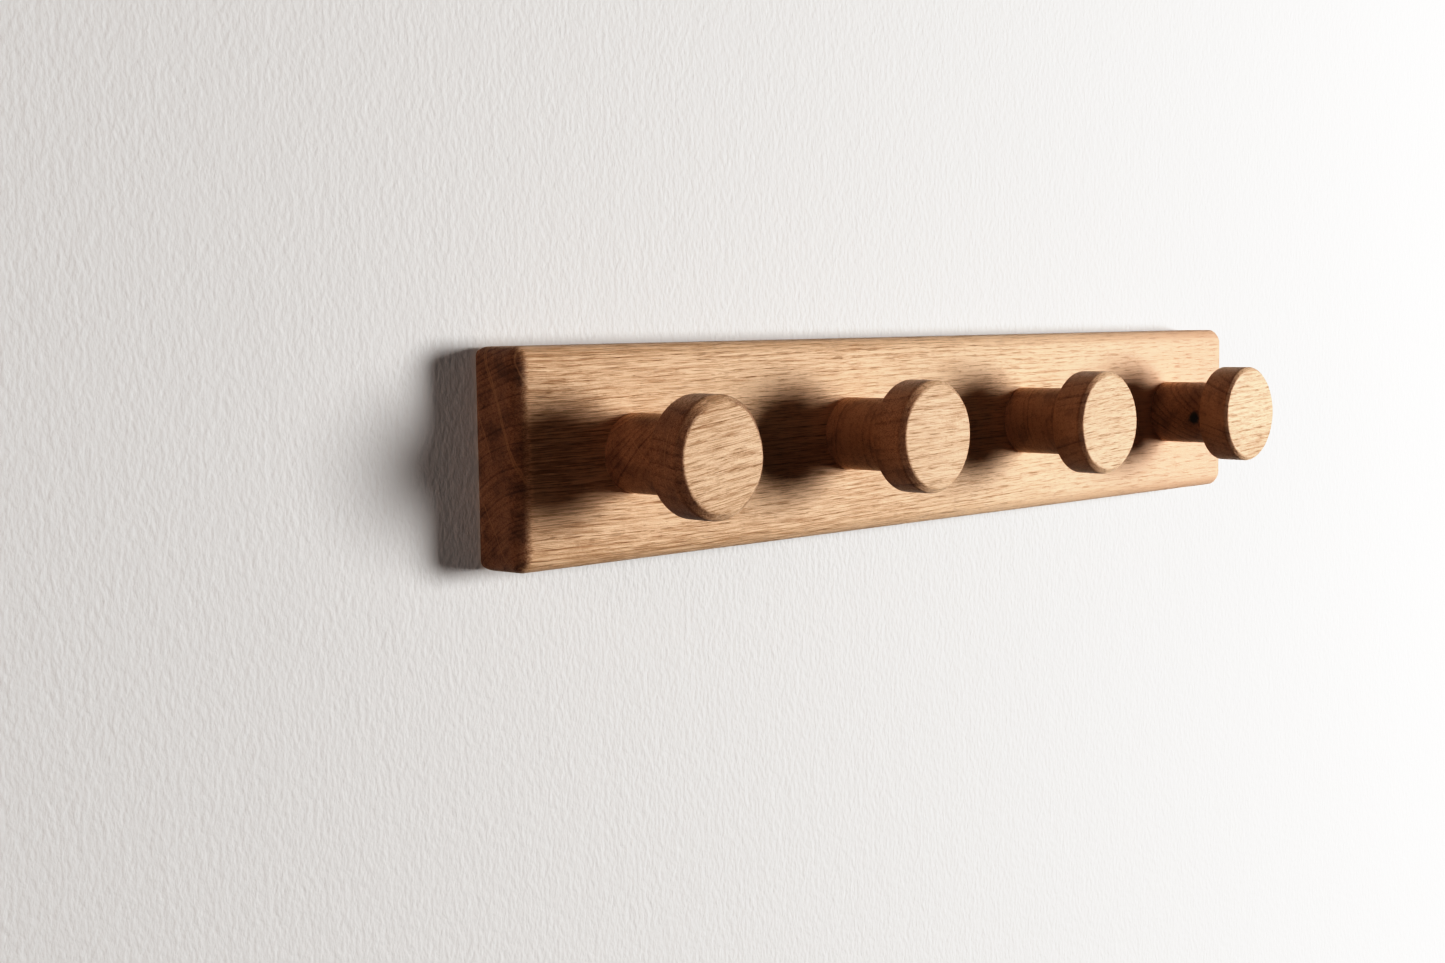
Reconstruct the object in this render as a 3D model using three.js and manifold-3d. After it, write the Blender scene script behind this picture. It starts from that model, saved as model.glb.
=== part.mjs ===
// Wall hook rack: a solid oak board that hangs on a wall and carries a row of round pegs.
// Each peg is a stem with a wider disc head, joined by a dowel and screwed on through the board.
// Two keyhole plates, let into the board's back, hang the rack on two wall screws.
//
// Millimetres. +X runs along the board, +Y points into the wall and +Z is up.
// The origin is the centre of the board's back face, which lies against the wall.

import * as THREE from 'three';
import { mergeVertices } from 'three/addons/utils/BufferGeometryUtils.js';
import Module from 'manifold-3d';

const wasm = await Module();
wasm.setup();

// ---------------------------------------------------------------- driving dimensions

const GAP = 0.3; // clearance between pieces that are glued, screwed or seated together

const BOARD_LENGTH = 380;
const BOARD_HEIGHT = 65;
const BOARD_THICKNESS = 20;
const BOARD_EDGE_RADIUS = 4;
const BOARD_CORNER_RADIUS = 4.5;

const PEG_COUNT = 4;
const PEG_PITCH = 97;
const INNER_PEG_RISE = 1; // the pegs between the end ones sit this much above the mid-line
const STEM_RADIUS = 12;
const STEM_LENGTH = 26;
const HEAD_RADIUS = 18.25;
const HEAD_THICKNESS = 12;
const HEAD_FRONT_RADIUS = 2.2;
const HEAD_BACK_CHAMFER = 0.4;

const DOWEL_RADIUS = 4;
const DOWEL_LENGTH = 20;
const DOWEL_IN_HEAD = 9;
const DOWEL_CHAMFER = 0.8;

const PEG_SCREW = {
  length: 30,
  shankRadius: 2.25,
  coreRadius: 1.6,
  headRadius: 4.4,
  headHeight: 2.6,
  threadLength: 19,
  threadPitch: 2.1,
  recessWidth: 1.1,
  recessLength: 4.6,
  recessDepth: 1.8,
};
const PEG_SCREW_SINK = 2; // depth of the screw head below the board's back face

const PLATE_LENGTH = 44;
const PLATE_HEIGHT = 18;
const PLATE_THICKNESS = 1.5;
const PLATE_SINK = 0.2; // depth of the plate's outer face below the board's back face
const PLATE_OFFSET = PEG_PITCH; // distance of each plate's centre from the board's centre
const PLATE_RISE = 12;
const PLATE_SCREW_SPACING = 33;
const KEYHOLE_ENTRY_RADIUS = 5;
const KEYHOLE_ENTRY_DROP = 2.8; // entry hole's centre below the plate's centre
const KEYHOLE_SLOT_WIDTH = 5;
const KEYHOLE_SLOT_RISE = 4; // slot end's arc centre above the plate's centre
const POCKET_DEPTH = 8;
const POCKET_CLEARANCE = 1.5; // pocket wall outside the entry hole, all round

const PLATE_SCREW = {
  length: 14,
  shankRadius: 1.5,
  coreRadius: 1.1,
  headRadius: 2.7,
  headHeight: 1.3,
  threadLength: 11,
  threadPitch: 1.6,
  recessWidth: 0.7,
  recessLength: 2.8,
  recessDepth: 0.9,
};

const HEAD_LIP = 0.2; // straight edge of a screw head above its cone

const BIG_ROUND = 36; // facets round a peg
const SMALL_ROUND = 12; // facets round a screw, a dowel and their holes
const ARC_STEPS = 4; // facets in a quarter of a rounded edge
const OVERRUN = 1; // how far a cutter runs on beyond the surface it opens
const FLAT_LEFT = 0.01; // straight part left at the end of a rounded slot's outline
const MERGE_DISTANCE = 1e-4;

// ---------------------------------------------------------------- derived places

const BOARD_FRONT = -BOARD_THICKNESS;
const STEM_FRONT = BOARD_FRONT - STEM_LENGTH;
const HEAD_FRONT = STEM_FRONT - HEAD_THICKNESS;
const PLATE_OUTER = -PLATE_SINK;
const PLATE_INNER = PLATE_OUTER - PLATE_THICKNESS;
const SCREW_TIP = -PEG_SCREW_SINK - PEG_SCREW.length;
const DOWEL_FRONT = STEM_FRONT - DOWEL_IN_HEAD;
const DOWEL_BACK = DOWEL_FRONT + DOWEL_LENGTH;

// ---------------------------------------------------------------- materials

function material(color, roughness, metalness) {
  return new THREE.MeshStandardMaterial({ color, roughness, metalness });
}

const boardOak = () => material(0xd9ae7f, 0.55, 0);
const stemOak = () => material(0xcfa070, 0.55, 0);
const headOak = () => material(0xe2bb8c, 0.5, 0);
const beech = () => material(0xe3c39a, 0.6, 0);
const zincSteel = () => material(0xb9b6ad, 0.35, 0.9);
const plateSteel = () => material(0x9a9894, 0.4, 0.9);

// ---------------------------------------------------------------- solids and cuts

// Closed solid from a geometry: shared vertices merged, flat triangles dropped.
function solidOf(geometry) {
  const bare = geometry.clone();
  bare.deleteAttribute('normal');
  bare.deleteAttribute('uv');
  const merged = mergeVertices(bare, MERGE_DISTANCE);
  const index = merged.getIndex().array;
  const triVerts = [];
  for (let i = 0; i < index.length; i += 3) {
    const [a, b, c] = [index[i], index[i + 1], index[i + 2]];
    if (a !== b && b !== c && c !== a) {
      triVerts.push(a, b, c);
    }
  }
  return new wasm.Manifold(new wasm.Mesh({
    numProp: 3,
    vertProperties: new Float32Array(merged.getAttribute('position').array),
    triVerts: new Uint32Array(triVerts),
  }));
}

function geometryOf(solid) {
  const { vertProperties, triVerts } = solid.getMesh();
  const geometry = new THREE.BufferGeometry();
  geometry.setAttribute('position', new THREE.BufferAttribute(vertProperties, 3));
  geometry.setIndex(new THREE.BufferAttribute(triVerts, 1));
  geometry.computeVertexNormals();
  return geometry;
}

function cut(geometry, cutters) {
  const rest = cutters.reduce((solid, cutter) => solid.subtract(solidOf(cutter)), solidOf(geometry));
  return geometryOf(rest);
}

// Solid of revolution about Y. The outline runs from the front end of the axis to the back end.
function turned(outline, facets) {
  const points = outline.map(([radius, y]) => new THREE.Vector2(radius, y));
  return new THREE.LatheGeometry(points, facets);
}

// Outline points of a quarter arc, from angle start to angle end, round (radius, y).
function arcPoints(radius, y, size, start, end) {
  return Array.from({ length: ARC_STEPS + 1 }, (unused, step) => {
    const angle = start + ((end - start) * step) / ARC_STEPS;
    return [radius + size * Math.cos(angle), y + size * Math.sin(angle)];
  });
}

// Flat slab: the shape's x and y lie along X and Z, and the slab runs from back towards -Y.
function slab(shape, back, depth, curveSegments = ARC_STEPS) {
  const geometry = new THREE.ExtrudeGeometry(shape, { depth, bevelEnabled: false, curveSegments });
  return geometry.rotateX(Math.PI / 2).translate(0, back, 0);
}

function placedAt(geometry, x, z) {
  return geometry.translate(x, 0, z);
}

// Rectangle with round corners, centred on the origin.
function roundedRectangle(width, height, radius) {
  const [x, y] = [width / 2 - radius, height / 2 - radius];
  const shape = new THREE.Shape();
  shape.absarc(x, y, radius, 0, Math.PI / 2);
  shape.absarc(-x, y, radius, Math.PI / 2, Math.PI);
  shape.absarc(-x, -y, radius, Math.PI, 1.5 * Math.PI);
  shape.absarc(x, -y, radius, 1.5 * Math.PI, 2 * Math.PI);
  return shape;
}

// Keyhole outline: a round entry with a slot that rises out of it and ends in a half circle.
function keyhole(path, entryRadius, slotWidth) {
  const half = slotWidth / 2;
  const mouth = Math.asin(half / entryRadius);
  path.absarc(0, KEYHOLE_SLOT_RISE, half, 0, Math.PI);
  path.absarc(0, -KEYHOLE_ENTRY_DROP, entryRadius, Math.PI / 2 + mouth, 2.5 * Math.PI - mouth);
  return path;
}

// ---------------------------------------------------------------- places of the repeats

function pegPlaces() {
  return Array.from({ length: PEG_COUNT }, (unused, i) => {
    const isEnd = i === 0 || i === PEG_COUNT - 1;
    return { x: (i - (PEG_COUNT - 1) / 2) * PEG_PITCH, z: isEnd ? 0 : INNER_PEG_RISE };
  });
}

function platePlaces() {
  return [
    { side: 'left', x: -PLATE_OFFSET, z: PLATE_RISE },
    { side: 'right', x: PLATE_OFFSET, z: PLATE_RISE },
  ];
}

const screwOffsets = [-PLATE_SCREW_SPACING / 2, PLATE_SCREW_SPACING / 2];

// ---------------------------------------------------------------- board

function boardBlank() {
  const outline = roundedRectangle(BOARD_LENGTH, BOARD_HEIGHT, BOARD_CORNER_RADIUS);
  const geometry = new THREE.ExtrudeGeometry(outline, {
    depth: BOARD_THICKNESS - 2 * BOARD_EDGE_RADIUS,
    bevelThickness: BOARD_EDGE_RADIUS,
    bevelSize: BOARD_EDGE_RADIUS,
    bevelOffset: -BOARD_EDGE_RADIUS,
    bevelSegments: ARC_STEPS,
    curveSegments: ARC_STEPS,
  });
  return geometry.rotateX(Math.PI / 2).translate(0, -BOARD_EDGE_RADIUS, 0);
}

// Recess that takes a keyhole plate flush with the board's back.
function plateRecess() {
  const [length, height] = [PLATE_LENGTH + 2 * GAP, PLATE_HEIGHT + 2 * GAP];
  const depth = OVERRUN - PLATE_INNER + GAP;
  return slab(roundedRectangle(length, height, height / 2 - FLAT_LEFT), OVERRUN, depth);
}

// Deeper pocket behind the keyhole, where the wall screw's head travels.
function screwHeadPocket() {
  const width = 2 * (KEYHOLE_ENTRY_RADIUS + POCKET_CLEARANCE);
  const rise = KEYHOLE_SLOT_RISE + KEYHOLE_ENTRY_DROP;
  const pocket = roundedRectangle(width, width + rise, width / 2 - FLAT_LEFT);
  const middle = (KEYHOLE_SLOT_RISE - KEYHOLE_ENTRY_DROP) / 2;
  return slab(pocket, OVERRUN, OVERRUN + POCKET_DEPTH).translate(0, 0, middle);
}

function plateScrewPilot() {
  const radius = PLATE_SCREW.shankRadius + GAP;
  const bottom = PLATE_OUTER - PLATE_SCREW.length - GAP;
  return turned([[0, bottom], [radius, bottom], [radius, OVERRUN], [0, OVERRUN]], SMALL_ROUND);
}

function boardGeometry() {
  const pegScrewHole = () => sunkHole(PEG_SCREW, -PEG_SCREW_SINK, BOARD_FRONT);
  const cutters = pegPlaces().map(({ x, z }) => placedAt(pegScrewHole(), x, z));
  for (const { x, z } of platePlaces()) {
    cutters.push(placedAt(plateRecess(), x, z));
    cutters.push(placedAt(screwHeadPocket(), x, z));
    for (const offset of screwOffsets) {
      cutters.push(placedAt(plateScrewPilot(), x + offset, z));
    }
  }
  return cut(boardBlank(), cutters);
}

// ---------------------------------------------------------------- pegs

// Stem with a blind hole at each end: the screw's at the board, the dowel's at the head.
function stemGeometry() {
  const back = BOARD_FRONT - GAP;
  const dowelHole = DOWEL_RADIUS + GAP;
  const screwHole = PEG_SCREW.shankRadius + GAP;
  return turned([
    [0, DOWEL_BACK + GAP],
    [dowelHole, DOWEL_BACK + GAP],
    [dowelHole, STEM_FRONT],
    [STEM_RADIUS, STEM_FRONT],
    [STEM_RADIUS, back],
    [screwHole, back],
    [screwHole, SCREW_TIP - GAP],
    [0, SCREW_TIP - GAP],
  ], BIG_ROUND);
}

// Disc head with a rounded front rim and the dowel's blind hole in its back.
function headGeometry() {
  const back = STEM_FRONT - GAP;
  const dowelHole = DOWEL_RADIUS + GAP;
  const rim = HEAD_RADIUS - HEAD_FRONT_RADIUS;
  return turned([
    [0, HEAD_FRONT],
    ...arcPoints(rim, HEAD_FRONT + HEAD_FRONT_RADIUS, HEAD_FRONT_RADIUS, -Math.PI / 2, 0),
    [HEAD_RADIUS, back - HEAD_BACK_CHAMFER],
    [HEAD_RADIUS - HEAD_BACK_CHAMFER, back],
    [dowelHole, back],
    [dowelHole, DOWEL_FRONT - GAP],
    [0, DOWEL_FRONT - GAP],
  ], BIG_ROUND);
}

function dowelGeometry() {
  const end = DOWEL_RADIUS - DOWEL_CHAMFER;
  return turned([
    [0, DOWEL_FRONT],
    [end, DOWEL_FRONT],
    [DOWEL_RADIUS, DOWEL_FRONT + DOWEL_CHAMFER],
    [DOWEL_RADIUS, DOWEL_BACK - DOWEL_CHAMFER],
    [end, DOWEL_BACK],
    [0, DOWEL_BACK],
  ], SMALL_ROUND);
}

// ---------------------------------------------------------------- screws

// Countersunk wood screw whose head lies at the given y and whose point faces -Y.
// Its thread is a row of ridges between a sharp point and a plain shank.
function screwGeometry(screw, top) {
  const tip = top - screw.length;
  const ridges = Math.floor(screw.threadLength / screw.threadPitch);
  const outline = [[0, tip]];
  for (let i = 1; i < ridges; i += 1) {
    const y = tip + i * screw.threadPitch;
    outline.push([screw.coreRadius, y]);
    outline.push([screw.shankRadius, y + screw.threadPitch / 2]);
  }
  outline.push([screw.coreRadius, tip + ridges * screw.threadPitch]);
  outline.push([screw.shankRadius, tip + (ridges + 0.5) * screw.threadPitch]);
  outline.push([screw.shankRadius, top - screw.headHeight]);
  outline.push([screw.headRadius, top - HEAD_LIP]);
  outline.push([screw.headRadius, top]);
  outline.push([0, top]);
  return cut(turned(outline, SMALL_ROUND), crossRecess(screw, top));
}

// Through hole for a countersunk screw whose head lies at y = top, in material that ends at front.
function sunkHole(screw, top, front) {
  const bore = screw.shankRadius + GAP;
  const mouth = screw.headRadius + GAP;
  return turned([
    [0, front - OVERRUN],
    [bore, front - OVERRUN],
    [bore, top - screw.headHeight],
    [mouth, top - HEAD_LIP],
    [mouth, OVERRUN],
    [0, OVERRUN],
  ], SMALL_ROUND);
}

// Two crossed bars that cut the driver's recess.
function crossRecess({ recessWidth, recessLength, recessDepth }, top) {
  const depth = recessDepth + OVERRUN;
  const y = top + OVERRUN - depth / 2;
  return [
    new THREE.BoxGeometry(recessLength, depth, recessWidth).translate(0, y, 0),
    new THREE.BoxGeometry(recessWidth, depth, recessLength).translate(0, y, 0),
  ];
}

// ---------------------------------------------------------------- keyhole plates

function plateGeometry() {
  const outline = roundedRectangle(PLATE_LENGTH, PLATE_HEIGHT, PLATE_HEIGHT / 2 - FLAT_LEFT);
  outline.holes.push(keyhole(new THREE.Path(), KEYHOLE_ENTRY_RADIUS, KEYHOLE_SLOT_WIDTH));
  const blank = slab(outline, PLATE_OUTER, PLATE_THICKNESS, 2 * ARC_STEPS);
  const screwHole = () => sunkHole(PLATE_SCREW, PLATE_OUTER, PLATE_INNER);
  const holes = screwOffsets.map((offset) => placedAt(screwHole(), offset, 0));
  return cut(blank, holes);
}

// ---------------------------------------------------------------- assembly

function piece(name, geometry, look, x = 0, z = 0) {
  const mesh = new THREE.Mesh(geometry, look);
  mesh.name = name;
  mesh.position.set(x, 0, z);
  return mesh;
}

function peg(number, { x, z }) {
  const group = new THREE.Group();
  group.position.set(x, 0, z);
  group.add(piece(`peg_stem_${number}`, stemGeometry(), stemOak()));
  group.add(piece(`peg_head_${number}`, headGeometry(), headOak()));
  group.add(piece(`peg_dowel_${number}`, dowelGeometry(), beech()));
  group.add(piece(`peg_screw_${number}`, screwGeometry(PEG_SCREW, -PEG_SCREW_SINK), zincSteel()));
  return group;
}

function hanger({ side, x, z }) {
  const group = new THREE.Group();
  group.position.set(x, 0, z);
  group.add(piece(`keyhole_plate_${side}`, plateGeometry(), plateSteel()));
  screwOffsets.forEach((offset, i) => {
    const name = `plate_screw_${side}_${i + 1}`;
    const geometry = screwGeometry(PLATE_SCREW, PLATE_OUTER);
    group.add(piece(name, geometry, zincSteel(), offset, 0));
  });
  return group;
}

const rack = new THREE.Group();
rack.add(piece('board', boardGeometry(), boardOak()));
pegPlaces().forEach((place, i) => rack.add(peg(i + 1, place)));
platePlaces().forEach((place) => rack.add(hanger(place)));

export default rack;
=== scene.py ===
import math

import bpy
import numpy as np
from mathutils import Matrix, Vector, noise

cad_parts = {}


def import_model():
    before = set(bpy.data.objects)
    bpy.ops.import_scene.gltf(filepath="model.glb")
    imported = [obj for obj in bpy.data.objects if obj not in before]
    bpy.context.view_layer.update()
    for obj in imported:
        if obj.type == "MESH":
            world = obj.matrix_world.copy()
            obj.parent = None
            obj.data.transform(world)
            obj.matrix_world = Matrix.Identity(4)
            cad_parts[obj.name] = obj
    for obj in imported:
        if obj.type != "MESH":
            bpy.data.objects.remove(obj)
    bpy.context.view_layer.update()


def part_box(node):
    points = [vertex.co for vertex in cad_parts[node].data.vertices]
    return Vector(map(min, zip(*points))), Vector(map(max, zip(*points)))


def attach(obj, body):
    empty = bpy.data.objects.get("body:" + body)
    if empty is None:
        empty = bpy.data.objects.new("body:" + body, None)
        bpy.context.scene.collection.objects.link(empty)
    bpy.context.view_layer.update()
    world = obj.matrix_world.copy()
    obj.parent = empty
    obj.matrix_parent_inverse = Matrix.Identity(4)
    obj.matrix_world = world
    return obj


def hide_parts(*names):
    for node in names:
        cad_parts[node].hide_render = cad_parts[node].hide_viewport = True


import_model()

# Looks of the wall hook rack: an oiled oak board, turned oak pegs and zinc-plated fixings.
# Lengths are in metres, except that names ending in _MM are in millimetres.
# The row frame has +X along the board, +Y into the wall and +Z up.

MM = 0.001

# ------------------------------------------------------------------ places taken from the frame

BOARD_LOW, BOARD_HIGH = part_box("board")
BOARD_FRONT = BOARD_LOW.y
PEG_NUMBERS = (1, 2, 3, 4)
PLATE_SIDES = ("left", "right")
PLATE_SCREW_NUMBERS = (1, 2)


def middle(node):
    """Centre of a CAD node's box."""
    low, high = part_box(node)
    return (low + high) / 2


def radius_of(node):
    """Radius of a round CAD node whose axis runs along Y."""
    low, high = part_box(node)
    return (high.z - low.z) / 2


# ------------------------------------------------------------------ mesh tools

ARC_STEPS = 24


def new_object(name, vertices, faces):
    """Mesh object at the origin, with its place in its vertices."""
    mesh = bpy.data.meshes.new(name)
    mesh.from_pydata([tuple(v) for v in vertices], [], faces)
    mesh.validate()
    obj = bpy.data.objects.new(name, mesh)
    bpy.context.scene.collection.objects.link(obj)
    return obj


def apply_modifiers(obj):
    """Turns the object's modifiers into its mesh."""
    depsgraph = bpy.context.evaluated_depsgraph_get()
    mesh = bpy.data.meshes.new_from_object(obj.evaluated_get(depsgraph))
    obj.modifiers.clear()
    obj.data = mesh


def smooth(obj, degrees=32):
    """Smooth shading, with edges sharper than the angle kept crisp."""
    obj.data.shade_smooth()
    obj.data.set_sharp_from_angle(angle=math.radians(degrees))


def piece(obj, node, material):
    """Makes the object stand for a CAD node, riding on the rack's one body."""
    obj.data.materials.clear()
    obj.data.materials.append(material)
    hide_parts(node)
    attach(obj, "root")


def arc(across, up, radius, start, end, steps=ARC_STEPS):
    """Points along an arc about (across, up) in a plane, from one angle to another in degrees."""
    angles = [math.radians(start + (end - start) * i / steps) for i in range(steps + 1)]
    return [(across + radius * math.cos(a), up + radius * math.sin(a)) for a in angles]


def same_all_round(outline):
    """Outline of a solid of revolution that is the same at every angle."""
    return lambda angle: outline


def turned(name, outline, centre, facets):
    """Solid of revolution about the line along Y through centre.

    outline(angle) lists (radius, y) from the front end of the axis to the back end, y as in the
    row frame, and has as many points at every angle."""
    rings = [outline(2 * math.pi * i / facets) for i in range(facets)]
    inner = len(rings[0]) - 2
    vertices = [(centre.x, rings[0][0][1], centre.z)]
    for i, ring in enumerate(rings):
        turn = 2 * math.pi * i / facets
        for radius, y in ring[1:-1]:
            x = centre.x + radius * math.sin(turn)
            vertices.append((x, y, centre.z + radius * math.cos(turn)))
    vertices.append((centre.x, rings[0][-1][1], centre.z))
    last = len(vertices) - 1
    faces = []
    for i in range(facets):
        here, there = 1 + i * inner, 1 + (i + 1) % facets * inner
        faces.append((0, there, here))
        for j in range(inner - 1):
            faces.append((here + j, there + j, there + j + 1, here + j + 1))
        faces.append((here + inner - 1, there + inner - 1, last))
    return new_object(name, vertices, faces)


def prism(name, outline, back, front):
    """Closed prism between two y values, with its outline given as (x, z) points."""
    count = len(outline)
    vertices = [(x, front, z) for x, z in outline] + [(x, back, z) for x, z in outline]
    faces = [tuple(range(count)), tuple(range(2 * count - 1, count - 1, -1))]
    for i in range(count):
        j = (i + 1) % count
        faces.append((j, i, count + i, count + j))
    return new_object(name, vertices, faces)


def stadium(x, z, length, height):
    """Outline with straight long sides and round ends, longer along X or along Z."""
    if length > height:
        reach, radius = (length - height) / 2, height / 2
        return arc(x + reach, z, radius, -90, 90) + arc(x - reach, z, radius, 90, 270)
    reach, radius = (height - length) / 2, length / 2
    return arc(x, z + reach, radius, 0, 180) + arc(x, z - reach, radius, 180, 360)


def cut(obj, cutters):
    """Cuts closed meshes out of the object and removes them."""
    for cutter in cutters:
        modifier = obj.modifiers.new("cut", "BOOLEAN")
        modifier.operation = "DIFFERENCE"
        modifier.solver = "EXACT"
        modifier.object = cutter
        apply_modifiers(obj)
        bpy.data.objects.remove(cutter)


# ------------------------------------------------------------------ shader tools


class Graph:
    """Short names for building a node tree. A value is a number, a tuple or a node's socket."""

    def __init__(self, tree):
        """The graph adds its nodes to this tree."""
        self.tree = tree

    def add(self, kind, **settings):
        """New node with its settings."""
        node = self.tree.nodes.new(kind)
        for name, value in settings.items():
            setattr(node, name, value)
        return node

    def put(self, value, socket):
        """Links a socket into another, or sets a plain value."""
        if isinstance(value, bpy.types.NodeSocket):
            self.tree.links.new(value, socket)
        else:
            socket.default_value = value

    def math(self, operation, a, b=0.0, clamp=False):
        """One operation on one or two numbers."""
        node = self.add("ShaderNodeMath", operation=operation, use_clamp=clamp)
        self.put(a, node.inputs[0])
        self.put(b, node.inputs[1])
        return node.outputs[0]

    def sum(self, *terms):
        """Sum of any count of numbers."""
        total = terms[0]
        for term in terms[1:]:
            total = self.math("ADD", total, term)
        return total

    def times(self, a, b):
        """Product of two numbers."""
        return self.math("MULTIPLY", a, b)

    def clamped(self, value):
        """The number kept between 0 and 1."""
        return self.math("ADD", value, 0.0, clamp=True)

    def about_middle(self, value, weight):
        """Noise counted from its middle value, times a weight."""
        return self.times(self.math("SUBTRACT", value, 0.5), weight)

    def vector(self, operation, a, b=(0, 0, 0)):
        """One operation on one or two vectors."""
        node = self.add("ShaderNodeVectorMath", operation=operation)
        self.put(a, node.inputs[0])
        self.put(b, node.inputs[1])
        return node.outputs["Value" if operation in ("DOT_PRODUCT", "LENGTH") else "Vector"]

    def join(self, x, y, z):
        """Vector made of three numbers."""
        node = self.add("ShaderNodeCombineXYZ")
        for value, socket in zip((x, y, z), node.inputs):
            self.put(value, socket)
        return node.outputs[0]

    def split(self, vector):
        """The three numbers of a vector."""
        node = self.add("ShaderNodeSeparateXYZ")
        self.put(vector, node.inputs[0])
        return node.outputs

    def step(self, value, low, high, to_low=0.0, to_high=1.0):
        """Smooth step from to_low to to_high while the value goes from low to high."""
        node = self.add("ShaderNodeMapRange", interpolation_type="SMOOTHSTEP")
        for item, socket in zip((value, low, high, to_low, to_high), node.inputs):
            self.put(item, socket)
        return node.outputs[0]

    def noise(self, point, fineness, detail=2.0, rough=0.5, colour=False):
        """Smooth noise; fineness is how many features a unit of length has along each axis."""
        node = self.add("ShaderNodeTexNoise", noise_dimensions="3D")
        self.put(self.vector("MULTIPLY", point, fineness), node.inputs["Vector"])
        node.inputs["Scale"].default_value = 1.0
        node.inputs["Detail"].default_value = detail
        node.inputs["Roughness"].default_value = rough
        return node.outputs["Color" if colour else "Fac"]

    def line_noise(self, value, detail):
        """Smooth noise along a line."""
        node = self.add("ShaderNodeTexNoise", noise_dimensions="1D")
        self.put(value, node.inputs["W"])
        node.inputs["Scale"].default_value = 1.0
        node.inputs["Detail"].default_value = detail
        return node.outputs["Fac"]

    def cells(self, point, fineness):
        """Distance to the nearest cell point, and a random value for that cell."""
        node = self.add("ShaderNodeTexVoronoi", voronoi_dimensions="3D", feature="F1")
        self.put(self.vector("MULTIPLY", point, fineness), node.inputs["Vector"])
        node.inputs["Scale"].default_value = 1.0
        return node.outputs["Distance"], self.split(node.outputs["Color"])[0]

    def mix(self, factor, a, b, blend="MIX"):
        """Colour a with colour b over it."""
        node = self.add("ShaderNodeMix", data_type="RGBA", blend_type=blend)
        self.put(factor, node.inputs["Factor"])
        self.put(a, node.inputs["A"])
        self.put(b, node.inputs["B"])
        return node.outputs["Result"]

    def shader_mix(self, factor, a, b):
        """Shader a where the factor is 0, shader b where it is 1."""
        node = self.add("ShaderNodeMixShader")
        for value, socket in zip((factor, a, b), node.inputs):
            self.put(value, socket)
        return node.outputs[0]

    def place(self):
        """Where the shaded point is, in metres and in millimetres, and which way it faces."""
        given = self.add("ShaderNodeTexCoord").outputs
        point_mm = self.vector("MULTIPLY", given["Object"], (1 / MM, 1 / MM, 1 / MM))
        return given["Object"], point_mm, given["Normal"]


def rgb(red, green, blue):
    """Opaque colour in linear light."""
    return (red, green, blue, 1.0)


def new_material(name):
    """Material with an empty Principled shader: the graph, the material and the shader."""
    material = bpy.data.materials.new(name)
    material.use_nodes = True
    tree = material.node_tree
    tree.nodes.clear()
    graph = Graph(tree)
    shader = graph.add("ShaderNodeBsdfPrincipled")
    output = graph.add("ShaderNodeOutputMaterial")
    tree.links.new(shader.outputs[0], output.inputs["Surface"])
    return graph, material, shader


def add_bump(graph, shader, height, distance, strength):
    """Gives the shader a bumpy surface, as deep as distance where height is 1."""
    node = graph.add("ShaderNodeBump")
    graph.put(height, node.inputs["Height"])
    node.inputs["Distance"].default_value = distance
    node.inputs["Strength"].default_value = strength
    graph.put(node.outputs["Normal"], shader.inputs["Normal"])


# ------------------------------------------------------------------ oak

OAK_PALE = rgb(0.93, 0.635, 0.405)
OAK_BROWN = rgb(0.46, 0.243, 0.11)
OAK_PORE = rgb(0.24, 0.11, 0.05)
# Painted highlight wash: the even colour laid over the palest wood.
OAK_HIGHLIGHT_WASH = rgb(0.83, 0.485, 0.31)
OAK_RAY = rgb(0.80, 0.54, 0.34)
OAK_END_TINT = rgb(0.54, 0.44, 0.38)
OAK_END_PORE = rgb(0.11, 0.045, 0.02)
OAK_END_RAY = rgb(0.46, 0.26, 0.13)
KNOT_BLACK = rgb(0.012, 0.007, 0.004)

# Sizes of the wood's features, along the grain and across it.
SLOW_DRIFT_MM = (210.0, 45.0)
QUICK_DRIFT_MM = (38.0, 9.0)
FIBRE_MM = (13.0, 0.27)
STREAK_MM = (30.0, 0.72)
BROAD_MM = (160.0, 17.0)
PORE_MM = (9.0, 0.32)
DASH_MM = (3.0, 0.28)

# Sizes of the rays along the grain, out from the pith and round it. The way round the pith is
# measured as a length at RING_REACH_MM from it.
RING_REACH_MM = 100.0
WIDE_RAY_MM = (46.0, 150.0, 1.9)
THIN_RAY_MM = (9.0, 30.0, 0.8)
LONG_RAY_EDGE_MM, LONG_RAY_CORE_MM = 0.26, 0.10
LONG_RAY_BEND_MM = 1.4

# How far the grain wanders sideways, and how many rings wide and how often the rings wander.
SLOW_DRIFT_BY_MM = 6.0
QUICK_DRIFT_BY_MM = 0.9
RINGS_WANDER_BY = 1.9
RINGS_WANDER_PER_RING = 0.31

# Shares of a ring's width: the step up into its early wood, and the step down out of it, written
# from its far end to its near one.
EARLY_STARTS = (0.0, 0.06)
EARLY_ENDS = (0.52, 0.12)

# Share of the possible places that hold a pore or a dash.
PORE_SHARE = 0.09
PORE_SHARE_EARLY = 0.42
DASH_SHARE = 0.16

# How brown the wood starts, and how far each feature takes it towards brown.
BROWN_START = 0.24
BROWN_EARLY = 0.04
BROWN_EARLY_YEAR = 0.30
BROWN_STREAK = 1.9
BROWN_FIBRE = 5.0
BROWN_BROAD = 0.8

# How strongly each feature shows on faces along the grain. The palest wood, towards the board's
# right end nearest the key light, is painted even in colour: a painted highlight wash.
RAY_SHADE = 0.4
THIN_RAY_SHADE = 0.3
DASH_SHADE = 0.27
PORE_SHADE = 0.34
HIGHLIGHT_WASH_FROM, HIGHLIGHT_WASH_TO = 0.18, 0.50
HIGHLIGHT_WASH_SHARE = 0.6
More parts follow.
